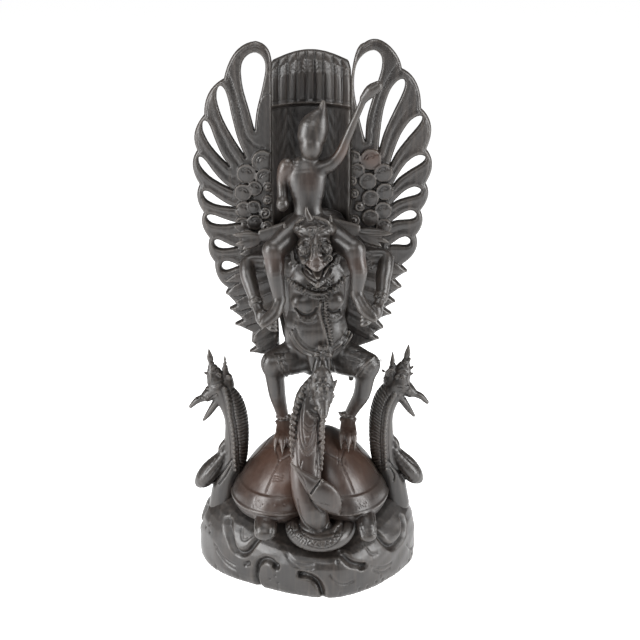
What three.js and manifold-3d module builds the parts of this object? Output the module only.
// Vishnu riding on Garuda: a carving in one block of dark wood, with its rock base.
// Millimetres, +Z up, the front faces -Y, and the origin is at the middle of the underside.

import * as THREE from "three";
import { mergeVertices } from "three/addons/utils/BufferGeometryUtils.js";
import Module from "manifold-3d";

const wasm = await Module();
wasm.setup();

// Driving dimensions
const BASE_TOP = 90;              // highest point of the rock, under the turtle
const BASE_FRONT_DROP = 0.42;     // how far the rock's top falls towards its front edge
const SHELL_RIM_Z = 91;           // rim of the turtle's shell
const SHELL_RISE = 74;            // height of the shell above its rim
const SHELL_HALF_DEPTH = 80;      // half of the shell's length, front to back
const SHELL_Y = -12;              // middle of the shell, front to back
const WING_Y = 20;                // front face of the feather loops
const WING_DEPTH = 14;            // thickness of the feather loops
const WING_ROOT_X = 43;           // inner edge of each wing
const WING_SWEEP = 12;            // how far the wing's outer edge bends back
const WING_SPAN = 90;             // from the inner edge to the outermost loop
const TAIL_HALF = 45;             // half width of the tail plate
const TAIL_FOOT_Z = 262;          // lower end of the tail plate
const TAIL_RIDGE_Z = 520;         // ridge between the hollow and the feathered top
const TAIL_TOP_Z = 578;           // top of the tail plate
const TAIL_FEATHERS = 9;          // ribs across the feathered top

const WOOD = { color: 0x2b1c15, roughness: 0.42, metalness: 0 };

const UPRIGHT = { side: new THREE.Vector3(0, 0, 1) };
const v3 = (x, y, z) => new THREE.Vector3(x, y, z);
const mix = THREE.MathUtils.lerp;

// Turns a closed three.js geometry into a solid that can be joined and cut.
function solid(geometry) {
  const bare = geometry.clone();
  bare.deleteAttribute("normal");
  bare.deleteAttribute("uv");
  const merged = mergeVertices(bare, 1e-4);
  return new wasm.Manifold(new wasm.Mesh({
    numProp: 3,
    vertProperties: new Float32Array(merged.attributes.position.array),
    triVerts: new Uint32Array(merged.index.array),
  }));
}

const join = (pieces) => pieces.reduce((all, piece) => all.add(piece));
const cut = (piece, tools) => tools.reduce((rest, tool) => rest.subtract(tool), piece);

// An ellipsoid with its poles along Z; turn is a rotation about Y in degrees.
function ball([x, y, z], [rx, ry, rz], { around = 8, rows = 5, turn = 0 } = {}) {
  const geometry = new THREE.SphereGeometry(1, around, rows);
  geometry.rotateX(Math.PI / 2);
  geometry.scale(rx, ry, rz);
  geometry.rotateY(THREE.MathUtils.degToRad(turn));
  geometry.translate(x, y, z);
  return solid(geometry);
}

// A closed skin over a stack of rings with equal numbers of points, and a point at each end.
function skin(rings, startTip, endTip) {
  const around = rings[0].length;
  const points = [startTip, ...rings.flat(), endTip];
  const top = 1 + (rings.length - 1) * around;
  const index = [];
  for (let k = 0; k < around; k += 1) {
    const next = (k + 1) % around;
    index.push(0, 1 + next, 1 + k);
    for (let low = 1; low < top; low += around) {
      const high = low + around;
      index.push(low + k, low + next, high + next, low + k, high + next, high + k);
    }
    index.push(top + k, top + next, points.length - 1);
  }
  const geometry = new THREE.BufferGeometry();
  const flat = points.flatMap((point) => point.toArray());
  geometry.setAttribute("position", new THREE.Float32BufferAttribute(flat, 3));
  geometry.setIndex(index);
  return solid(geometry);
}

// A rounded limb through stations [x, y, z, half width, half depth], along a smooth curve.
// The half width lies along side, as far as the limb's own direction allows.
function limb(stations, { sides = 6, steps = 1, side = v3(1, 0, 0), tip = 0.5 } = {}) {
  const places = stations.map(([x, y, z]) => v3(x, y, z));
  const path = new THREE.CatmullRomCurve3(places, false, "centripetal");
  const spans = stations.length - 1;
  const last = spans * steps;
  const rings = [];
  const ends = [];
  for (let i = 0; i <= last; i += 1) {
    const from = Math.min(Math.floor(i / steps), spans - 1);
    const part = i / steps - from;
    const [, , , widthA, depthA = widthA] = stations[from];
    const [, , , widthB, depthB = widthB] = stations[from + 1];
    const width = mix(widthA, widthB, part);
    const depth = mix(depthA, depthB, part);
    const centre = path.getPoint(i / last);
    const along = path.getTangent(i / last);
    const across = side.clone().addScaledVector(along, -side.dot(along)).normalize();
    const outward = along.clone().cross(across);
    rings.push(Array.from({ length: sides }, (_, k) => {
      const angle = ((k + 0.5) / sides) * 2 * Math.PI;
      const point = centre.clone().addScaledVector(across, Math.cos(angle) * width);
      return point.addScaledVector(outward, Math.sin(angle) * depth);
    }));
    const overhang = (i === 0 ? -tip : tip) * Math.min(width, depth);
    if (i === 0 || i === last) ends.push(centre.clone().addScaledVector(along, overhang));
  }
  return skin(rings, ends[0], ends[1]);
}

// A pointed spike from a base point to a tip, both [x, y, z].
function spike(foot, tip, width, sides = 4) {
  return limb([[...foot, width], [...tip, 0.5]], { sides });
}

// A plate that stands in the XZ plane, from an outline of [x, z] points and its front face's y.
function plate(outline, front, depth) {
  const shape = new THREE.Shape(outline.map(([x, z]) => new THREE.Vector2(x, z)));
  const geometry = new THREE.ExtrudeGeometry(shape, { depth, bevelEnabled: false });
  geometry.rotateX(Math.PI / 2);
  geometry.translate(0, front + depth, 0);
  return solid(geometry);
}

// The rock: a rounded five-sided plan, with a top that falls towards the front.
function rock() {
  const corners = [[10, -111], [38, -107], [78, -75], [116, -12], [112, 40], [84, 78], [40, 92], [0, 95],
    [-40, 92], [-88, 78], [-122, 40], [-128, 0], [-104, -45], [-56, -82], [-22, -101]];
  const plan = new THREE.CatmullRomCurve3(corners.map(([x, y]) => v3(x, y, 0)), true).getPoints(24);
  plan.pop();
  const levels = [[0, 0.965], [8, 1], [42, 1], [64, 0.95], [80, 0.84], [BASE_TOP - 4, 0.68]];
  const lower = (y, z) => z * (1 - BASE_FRONT_DROP * THREE.MathUtils.clamp(-y / 100, 0, 1) * (z / BASE_TOP));
  const rings = levels.map(([z, size]) => plan.map(({ x, y }) => v3(x * size, y * size, lower(y * size, z))));
  return skin(rings, v3(0, 0, 0), v3(0, 10, BASE_TOP));
}

// The rounded furrows that divide the rock into lobes, and its drop-shaped holes.
function furrows() {
  const furrow = (points, width) => limb(points.map((p) => [...p, width]), { sides: 5, steps: 1 });
  return [
    furrow([[-107, -42, 62], [-99, -58, 42], [-84, -68, 33], [-70, -76, 42], [-64, -78, 56]], 3),
    furrow([[-60, -84, -4], [-64, -82, 14], [-60, -82, 28], [-50, -89, 35], [-40, -95, 30]], 3),
    furrow([[-12, -105, 27], [2, -108, 26], [12, -110, 14], [13, -110, -4]], 3.5),
    furrow([[30, -96, 62], [36, -103, 48], [46, -101, 36], [58, -94, 32]], 3.5),
    furrow([[76, -66, 62], [84, -66, 45], [94, -54, 38], [104, -36, 46], [105, -30, 60]], 4),
  ];
}

// One lobe of the turtle's shell: a dome over a stepped margin, its belly, and a foot below the rim.
// The top of the dome lies to one side of the rim's middle by lean.
function shellLobe(centreX, halfWidth, lean, footX) {
  const rim = SHELL_RIM_Z;
  const up = (share) => rim + share * SHELL_RISE;
  const profile = [[0, rim - 16], [0.84, rim - 14], [1, rim], [0.98, rim + 6], [0.91, up(0.24)],
    [0.89, up(0.25)], [0.76, up(0.47)], [0.55, up(0.71)], [0.28, up(0.91)], [0, up(1)]];
  const shell = new THREE.LatheGeometry(profile.map(([r, z]) => new THREE.Vector2(r, z)), 16);
  shell.rotateX(Math.PI / 2);
  shell.scale(halfWidth, SHELL_HALF_DEPTH, 1);
  shell.translate(centreX, SHELL_Y, 0);
  const places = shell.attributes.position;
  for (let k = 0; k < places.count; k++) {
    const above = Math.min(Math.max((places.getZ(k) - rim) / SHELL_RISE, 0), 1);
    places.setX(k, places.getX(k) + lean * above ** 1.2);
  }
  const side = Math.sign(centreX);
  const seam = limb([[centreX + side * 16, -86, 107, 1.4], [centreX + side * 14, -72, 128, 1.4],
    [centreX + side * 4, -46, 150, 1.4]], { sides: 4 });
  const foot = limb([[footX, -62, 82, 11, 7], [footX, -84, 81, 11, 8], [footX, -97, 76, 12, 7]], { tip: 0.8 });
  return cut(solid(shell), [seam]).add(foot);
}

// The naga in front: a coil on the rock, a rising hooded neck, a crowned head and a leaf-shaped tail tip.
function frontNaga() {
  const coil = new THREE.TorusGeometry(26, 11, 6, 14);
  coil.scale(1.15, 1, 1);
  coil.rotateX(0.28);
  coil.translate(10, -80, 74);
  return join([solid(coil),
    limb([[8, -84, 68, 15], [3, -92, 92, 16], [-4, -90, 115, 17, 14], [-6, -83, 140, 18, 13],
      [-5, -73, 165, 18, 13], [-4, -63, 192, 19, 12], [-2, -58, 215, 16, 10], [4, -57, 232, 9, 8]], { sides: 8 }),
    ball([13, -70, 221], [11, 14, 15]),
    limb([[13, -76, 212, 9, 7], [13, -88, 205, 5, 4]]),
    limb([[11, -63, 230, 14, 11], [12, -62, 240, 11, 9], [12, -62, 250, 3, 3]]),
    spike([22, -63, 224], [28, -64, 237], 4),
    limb([[-22, -97, 153, 1], [-9, -102, 142, 5, 4], [6, -105, 127, 13, 7], [20, -105, 114, 14, 7],
      [27, -102, 98, 7, 5]], { side: v3(1, 0, 1) })]);
}

// A naga at one side. outward is +1 or -1; the numbers are for the right side, seen from the front.
function sideNaga(outward, shift, lift) {
  const at = ([x, y, z, ...rest]) => [outward * (x + shift), y, z + lift, ...rest];
  const along = (stations, options) => limb(stations.map(at), options);
  const barb = (foot, tip, width) => spike(at(foot), at(tip), width);
  return join([
    along([[98, 0, 74, 14, 15], [92, 0, 100, 14, 15], [82, 0, 126, 14, 15], [79, 0, 151, 14, 14],
      [79, 0, 176, 13.5, 13], [85, 0, 196, 14, 12], [97, 0, 211, 13, 12]], { sides: 8 }),
    along([[90, 0, 208, 13, 12], [104, 0, 208, 11, 11], [114, 0, 201, 7, 8], [123, 0, 197, 4, 6],
      [131, 0, 189, 2, 3]], UPRIGHT),
    along([[98, 0, 198, 6, 8], [106, 0, 188, 4.5, 6], [116, 0, 175, 1.5, 2.5]], UPRIGHT),
    along([[98, 0, 212, 12, 13], [101, 0, 226, 11, 10], [105, 0, 238, 5, 6]]),
    barb([105, 0, 230], [109, 0, 259], 6),
    barb([91, 0, 224], [91, 0, 251], 6),
    along([[89, 0, 150, 5, 6], [97, 0, 138, 5, 8], [95, 0, 128, 4, 6]]),
    along([[92, 0, 138, 5, 8], [101, 0, 124, 9, 14], [112, 0, 110, 11, 17], [119, 0, 101, 9, 14]], { sides: 7, tip: 0.8 }),
  ]);
}

// A clawed leg from the hip to the turtle's back; toes are tips and spur is a tip, all [x, y, z].
function leg(hip, knee, calf, ankle, toes, spur) {
  const [ax, ay, az] = ankle;
  const middle = toes[1];
  const instep = [mix(ax, middle[0], 0.4), mix(ay, middle[1], 0.5), az - 8];
  return join([
    limb([[...hip, 20, 18], [mix(hip[0], knee[0], 0.6), -24, hip[2] - 4, 17], [...knee, 13.5]],
      { sides: 7, side: v3(0, 1, 0) }),
    ball([knee[0], knee[1] - 3, knee[2] - 2], [12.5, 12, 13], { around: 7, rows: 4 }),
    limb([[knee[0], knee[1], knee[2] - 4, 10], [...calf, 9.5], [mix(calf[0], ax, 0.55), mix(calf[1], ay, 0.6),
      mix(calf[2], az, 0.6), 7.5], [...ankle, 6.5]]),
    ball([ax, ay, az + 3], [8.5, 8.5, 4], { around: 6, rows: 3 }),
    limb([[ax, ay + 6, az - 8, 7], [...instep, 10, 7], [middle[0], middle[1] + 8, middle[2] + 3, 8, 5]]),
    ...toes.map(([x, y, z]) => limb([[mix(ax, x, 0.6), y + 14, z + 7, 4.5], [x, y + 6, z + 4, 4], [x, y, z - 3, 1]],
      { sides: 5 })),
    spike([ax, ay + 4, az + 2], spur, 4),
  ]);
}

// Garuda's trunk, neck, collar, belt and loincloth.
function garudaTrunk() {
  return join([
    limb([[8, -6, 244, 24, 18], [7, -10, 258, 33, 24], [5, -16, 280, 35, 28], [5, -14, 300, 30, 24],
      [6, -12, 320, 31, 22], [7, -8, 340, 30, 20], [7, -6, 352, 20, 16]], { sides: 8 }),
    ball([-8, -28, 314], [14, 10, 11], { around: 6, rows: 4 }),
    ball([22, -28, 316], [14, 10, 11], { around: 6, rows: 4 }),
    limb([[-18, -22, 345, 7], [-6, -34, 336, 8], [6, -38, 331, 8], [20, -34, 337, 8], [31, -22, 346, 7]],
      UPRIGHT),
    limb([[4, 16, 268, 30, 24], [2, 22, 320, 42, 26], [2, 26, 372, 43, 24], [0, 34, 392, 36, 14]], { sides: 8 }),
    ball([13, -40, 264], [11, 9, 9], { around: 6, rows: 4 }),
    limb([[9, -36, 262, 15, 6], [10, -41, 246, 12, 5], [12, -48, 230, 5, 4]]),
    limb([[-20, -22, 284, 4], [6, -42, 262, 5], [34, -26, 282, 4]], { ...UPRIGHT, sides: 5 }),
    limb([[30, 6, 256, 9], [42, 16, 234, 5], [45, 20, 212, 3]], { sides: 5 }),
  ]);
}

// Garuda's head: crown, bulging brows and eyes, hooked upper beak, open lower beak, tongue, ears and horns.
function garudaHead() {
  const [middle, eyeZ] = [4, 380];
  const eyes = [-11, 11].map((off) => ball([middle + off, -53, eyeZ], [9, 7, 9], { around: 7, rows: 4 }));
  const ears = [-21, 22].map((off) => ball([middle + off, -26, 372], [6, 8, 15], { around: 6, rows: 4 }));
  const teeth = [-22, -11, 0, 11, 22].map((x) => {
    const z = 412 - (x * x) / 45;
    return spike([middle + x, -38, z - 8], [middle + x * 1.1, -40, z + (x === 0 ? 13 : 4)], 6);
  });
  return join([
    ball([middle, -32, 377], [22, 24, 25], { rows: 6 }),
    ball([middle, -32, 398], [25, 21, 12], { rows: 4 }),
    ...teeth, ...eyes, ...ears,
    limb([[middle, -46, 392, 6, 5], [middle, -62, 383, 6, 6], [middle + 1, -74, 373, 5, 5],
      [middle + 1, -80, 364, 2, 3]], { tip: 0.8 }),
    limb([[middle + 1, -34, 352, 18, 6], [middle + 2, -56, 353, 14, 5], [middle + 3, -72, 348, 4, 3.5]],
      { tip: 0.8 }),
    limb([[middle + 1, -50, 361, 6, 2.5], [middle + 2, -70, 357, 3, 2]], { sides: 5 }),
    spike([-16, -28, 388], [-31, -32, 406], 8),
    spike([24, -28, 392], [28, -32, 414], 7),
    limb([[5, -14, 345, 17, 15], [4, -24, 362, 18, 16]], { sides: 8 }),
  ]);
}

// One of Garuda's arms, reaching out from the shoulder and down to the rider's foot.
function garudaArm(shoulder, upper, elbow, forearm, wrist, hand) {
  return join([
    limb([[...shoulder, 14], [...upper, 11], [...elbow, 8.5]], UPRIGHT),
    limb([[...elbow, 8.5], [...forearm, 7.5], [...wrist, 5], [...hand, 6]]),
    ball(hand, [9, 8, 9], { around: 6, rows: 4 }),
  ]);
}

// The rider: trunk, sash, head under a tall crown, one arm down and one raised.
function rider() {
  const teeth = [[-10, 517], [3, 513], [17, 518]].map(([x, top]) => spike([x * 0.9 + 1, -8, 500], [x, -9, top], 6));
  return join([
    limb([[-2, -8, 388, 24, 19], [-3, -6, 404, 17, 13], [-4, -5, 418, 15, 12], [-4, -5, 436, 20, 13],
      [-5, -4, 452, 23, 12], [-5, -2, 463, 18, 10]], { sides: 8 }),
    limb([[-3, -2, 460, 8], [-1, -5, 476, 7.5]]),
    ball([0, -6, 483], [13, 13.5, 17], { rows: 6, turn: 10 }),
    limb([[1, -3, 493, 16, 14], [3, -2, 502, 17, 14], [7, -1, 510, 12, 10], [11, 0, 519, 6, 6],
      [13, 0, 529, 2.5, 2.5]], { sides: 8 }),
    ...teeth,
    ball([-15, -4, 488], [6, 5, 7], { around: 6, rows: 4 }),
    ball([16, -4, 493], [6, 5, 7], { around: 6, rows: 4 }),
    ball([-26, -3, 463], [9, 9, 9], { around: 6, rows: 4 }),
    ball([14, -3, 460], [10, 9, 9], { around: 6, rows: 4 }),
    limb([[-28, -3, 463, 8], [-31, -2, 448, 6.5], [-31, -5, 432, 5.5], [-31, -10, 422, 6]]),
    ball([-31, -11, 421], [7.5, 8, 8.5], { around: 6, rows: 4 }),
    limb([[14, -3, 459, 8.5], [26, -5, 466, 6.5], [33, -6, 476, 6], [38, -7, 490, 4.5], [48, -9, 514, 3.6],
      [56, -10, 534, 4], [64, -11, 543, 7.5], [74, -12, 549, 5.5]]),
    limb([[-4, -15, 446, 3, 2.5], [-4, -19, 410, 4, 3]], { sides: 5 }),
  ]);
}

// A leg of the rider, from the hip over the shoulder to the pointed foot.
function riderLeg(hip, knee, shin, ankle, foot, toe) {
  return join([
    limb([[...hip, 15], [mix(hip[0], knee[0], 0.55), mix(hip[1], knee[1], 0.5), hip[2] - 5, 13.5],
      [...knee, 12.5]], { ...UPRIGHT, sides: 7 }),
    limb([[knee[0], knee[1] - 1, knee[2] + 2, 11.5], [...shin, 10.5], [mix(shin[0], ankle[0], 0.6),
      shin[1], mix(shin[2], ankle[2], 0.6), 8.5], [...ankle, 6.5]], { sides: 7 }),
    ball([ankle[0], ankle[1], ankle[2] + 3], [9.5, 9, 4], { around: 6, rows: 3 }),
    limb([[ankle[0], ankle[1], ankle[2] - 1, 7], [...foot, 8, 6.5], [...toe, 5, 4]]),
  ]);
}

// The leafy end of the sash that flies out at each hip.
function sashEnd(root, middle, tips) {
  return join([
    limb([[...root, 6, 5], [...middle, 6, 5], [mix(middle[0], tips[0][0], 0.45), middle[1],
      middle[2] + 1, 10, 6]], UPRIGHT),
    ...tips.map((tip) => spike([mix(middle[0], tip[0], 0.4), middle[1], middle[2]], tip, 7.5)),
  ]);
}

// The tail: a hollow-fronted plate with a thick top of ribbed feathers that rounds over to the back.
function tail() {
  const steps = TAIL_FEATHERS * 2;
  const crest = (z, u) => z - 14 * u * u * THREE.MathUtils.smoothstep(z, 530, 580);
  const row = (count, z, width, yAt) => Array.from({ length: count + 1 }, (_, i) => {
    const u = (i / count) * 2 - 1;
    return v3(u * TAIL_HALF * width - 1, yAt(u, i), crest(z, u));
  });
  const ring = (z, middle, side, back, rib, width = 1) => [
    ...row(steps, z, width, (u, i) => mix(middle, side, u * u) + (i % 2 ? -rib : rib)),
    ...row(6, z, width, (u) => mix(back, mix(side, back, 0.5), u * u)).reverse(),
  ];
  const rings = [
    ring(TAIL_FOOT_Z, 30, 26, 52, 0, 0.7),
    ring(TAIL_FOOT_Z + 50, 50, 29, 74, 0, 0.92),
    ring(TAIL_FOOT_Z + 130, 64, 30, 86, 0),
    ring(TAIL_RIDGE_Z - 3, 66, 30, 90, 0),
    ring(TAIL_RIDGE_Z, 60, 27, 91, 0.3),
    ring(TAIL_TOP_Z - 24, 60, 29, 92, 1.4),
    ring(TAIL_TOP_Z - 10, 64, 35, 90, 1.4, 0.99),
    ring(TAIL_TOP_Z - 2, 71, 47, 84, 1, 0.94),
  ];
  return skin(rings, v3(-1, 38, TAIL_FOOT_Z - 8), v3(-1, 77, TAIL_TOP_Z));
}

// The outline of an opening in a feather loop: a drop from its pointed root to its round end.
function drop([rootX, rootZ], [endX, endZ], halfWidth, bend) {
  const root = new THREE.Vector2(rootX, rootZ);
  const along = new THREE.Vector2(endX, endZ).sub(root);
  const across = new THREE.Vector2(-along.y, along.x).normalize();
  const fullness = [[0, 0], [0.25, 0.3], [0.55, 0.8], [0.8, 1], [0.94, 0.7], [1, 0]];
  const place = (s, side) => {
    const bow = bend * 4 * s * (1 - s);
    return root.clone().addScaledVector(along, s).addScaledVector(across, bow + side * halfWidth).toArray();
  };
  const there = fullness.map(([s, w]) => place(s, w));
  const back = fullness.slice(1, -1).map(([s, w]) => place(s, -w)).reverse();
  return [...there, ...back];
}

// Follows scalloped edges: from a start through [bulge, notch] pairs, each a curve past the bulge.
function scallops(start, pairs) {
  const path = new THREE.Path().moveTo(...start);
  let [x, z] = start;
  for (const [bulge, notch] of pairs) {
    const control = bulge.map((value, axis) => 2 * value - ([x, z][axis] + notch[axis]) / 2);
    path.quadraticCurveTo(...control, ...notch);
    [x, z] = notch;
  }
  return path.getPoints(3).map((point) => point.toArray());
}

// A round wing scale: a low cone that stands out of the wing's front face.
function scale(x, z, size) {
  const ring = Array.from({ length: 5 }, (_, k) => {
    const angle = (k / 5) * 2 * Math.PI;
    return v3(x + Math.cos(angle) * size, WING_Y - 2, z + Math.sin(angle) * size);
  });
  return skin([ring], v3(x, WING_Y + 4, z), v3(x, WING_Y - 7, z));
}

// Sweeps a wing's outer part back, as a gentle bow seen from above.
function sweep(piece) {
  return piece.warp((point) => {
    const out = Math.max(0, (Math.abs(point[0]) - WING_ROOT_X) / WING_SPAN);
    point[1] += WING_SWEEP * out * out;
  });
}

// A wing of feather loops round a body of scales, with pointed feathers below.
// Each loop is [root, end, half width, bend] of its opening, and each scale row [x, z, count, step, size].
function wing(outward, outline, loops, scaleRows) {
  const openings = loops.map(([root, end, half, bend]) => (
    plate(drop(root, end, half, bend * outward), WING_Y - 30, WING_DEPTH + 60)));
  const scales = scaleRows.flatMap(([x, z, count, step, size]) => (
    Array.from({ length: count }, (_, i) => scale(x + outward * step * i, z - 7 * (i % 2), size))));
  return sweep(join([cut(plate(outline, WING_Y, WING_DEPTH), openings), ...scales]));
}

function leftWing() {
  const outline = [...scallops([-43, 560], [
    [[-46, 582], [-60, 591.5]], [[-82, 580], [-95, 551]], [[-112, 535], [-117.5, 511]],
    [[-128.5, 491], [-126, 471.5]], [[-131.5, 454], [-124, 433.5]], [[-127, 418], [-120, 402]],
    [[-122, 388], [-114, 373]], [[-115, 358], [-108.5, 346]], [[-105, 328], [-93.5, 316.5]],
  ]), [-97, 311], [-84, 298], [-93, 293], [-76.5, 281], [-87, 275], [-67, 266], [-68, 255], [-62, 249.5],
  [-71, 243], [-56, 240], [-44, 241], [-36, 250], [-38, 300], [-43, 420]];
  const loops = [
    [[-62, 495], [-61, 579.5], 13.2, -2.5], [[-72, 465], [-99.5, 543], 6.3, -4.5],
    [[-90, 455], [-117.5, 504.5], 4.8, -4], [[-86, 429], [-124, 464], 4.5, -4.5],
    [[-82, 409], [-120, 425], 5, -3.5], [[-78, 392], [-116.5, 397], 5, -2.5],
    [[-82, 364], [-108.5, 369], 4.8, -2], [[-78, 342], [-100.5, 341], 5.5, 1],
  ];
  const scales = [[-52, 463, 2, 15, 10], [-50, 447, 3, 14, 10], [-50, 429, 3, 14, 10], [-50, 411, 3, 14, 10],
    [-52, 393, 2, 14, 10]];
  return wing(-1, outline, loops, scales);
}

function rightWing() {
  const outline = [...scallops([43, 545], [
    [[48, 578], [57.5, 589.7]], [[70, 593.7], [84, 587]], [[94, 575], [98.5, 562]], [[115, 546], [120.5, 518]],
    [[132, 498], [127, 472.5]], [[134, 455], [127, 434.6]], [[130, 420], [121.5, 404]], [[124, 390], [117, 376]],
    [[116.5, 358], [101, 343]],
  ]), [108, 336], [93.5, 327], [102, 318], [87, 308], [95, 301], [82, 294], [91, 287], [74, 281], [82, 271],
  [69, 263.5], [77, 258], [65, 253.5], [54, 250], [36, 254], [38, 300], [43, 420]];
  const loops = [
    [[59, 484], [68, 582], 14, 6], [[74, 471.5], [100, 550.5], 7, 4], [[86, 455], [121, 509.5], 5.5, 4],
    [[89, 432.5], [125.5, 464.5], 5.6, 4], [[88, 411.5], [121.5, 427.5], 5.2, 3], [[87, 391], [117, 400], 5.4, 2],
    [[86, 365], [110.5, 370], 5.2, 1.5],
  ];
  const scales = [[58, 467, 2, 14, 10], [50, 451, 3, 15, 10], [50, 433, 3, 15, 10], [50, 415, 3, 15, 10],
    [56, 399, 2, 15, 10]];
  return wing(1, outline, loops, scales);
}

function carving() {
  const legs = [
    leg([-8, -8, 250], [-42, -30, 245], [-38, -24, 208], [-31, -12, 173],
      [[-40, -48, 154], [-32, -52, 152], [-24, -46, 152]], [-22, 7, 172]),
    leg([24, -8, 250], [62, -30, 243], [56, -24, 208], [41, -12, 176],
      [[48, -48, 156], [41, -50, 155], [33, -45, 157]], [31, 7, 176]),
  ];
  const arms = [
    garudaArm([-14, 0, 346], [-44, 3, 350], [-69, 0, 352], [-67, -14, 333], [-60, -28, 313], [-52, -45, 300]),
    garudaArm([27, 0, 347], [58, 3, 355], [81, 0, 358], [79, -14, 339], [76, -28, 319], [69, -45, 306]),
  ];
  const riderLegs = [
    riderLeg([-14, -12, 393], [-40, -44, 376], [-38, -50, 351], [-34, -50, 323], [-39, -58, 311], [-52, -66, 300]),
    riderLeg([12, -12, 393], [46, -44, 376], [51, -50, 354], [49, -50, 330], [57, -58, 316], [68, -64, 306]),
  ];
  const sashes = [
    sashEnd([-20, 2, 392], [-54, 6, 380], [[-87, 4, 383], [-84, 4, 372], [-76, 4, 366]]),
    sashEnd([16, 2, 396], [50, 6, 386], [[90, 4, 384], [86, 4, 374], [78, 4, 369]]),
  ];
  return join([cut(rock(), furrows()), shellLobe(-38, 53, 25, -50), shellLobe(37, 50, -25, 61), frontNaga(),
    sideNaga(-1, 6, -5), sideNaga(1, 0, 0), ...legs, garudaTrunk(), garudaHead(), ...arms,
    rider(), ...riderLegs, ...sashes, tail(), leftWing(), rightWing()]);
}

function meshOf(name, made) {
  const { vertProperties, triVerts } = made.getMesh();
  const geometry = new THREE.BufferGeometry();
  geometry.setAttribute("position", new THREE.BufferAttribute(vertProperties, 3));
  geometry.setIndex(new THREE.BufferAttribute(triVerts, 1));
  geometry.computeVertexNormals();
  const mesh = new THREE.Mesh(geometry, new THREE.MeshStandardMaterial(WOOD));
  mesh.name = name;
  return mesh;
}

const object = new THREE.Group();
object.add(meshOf("vishnu_on_garuda_carving", carving()));

export default object;
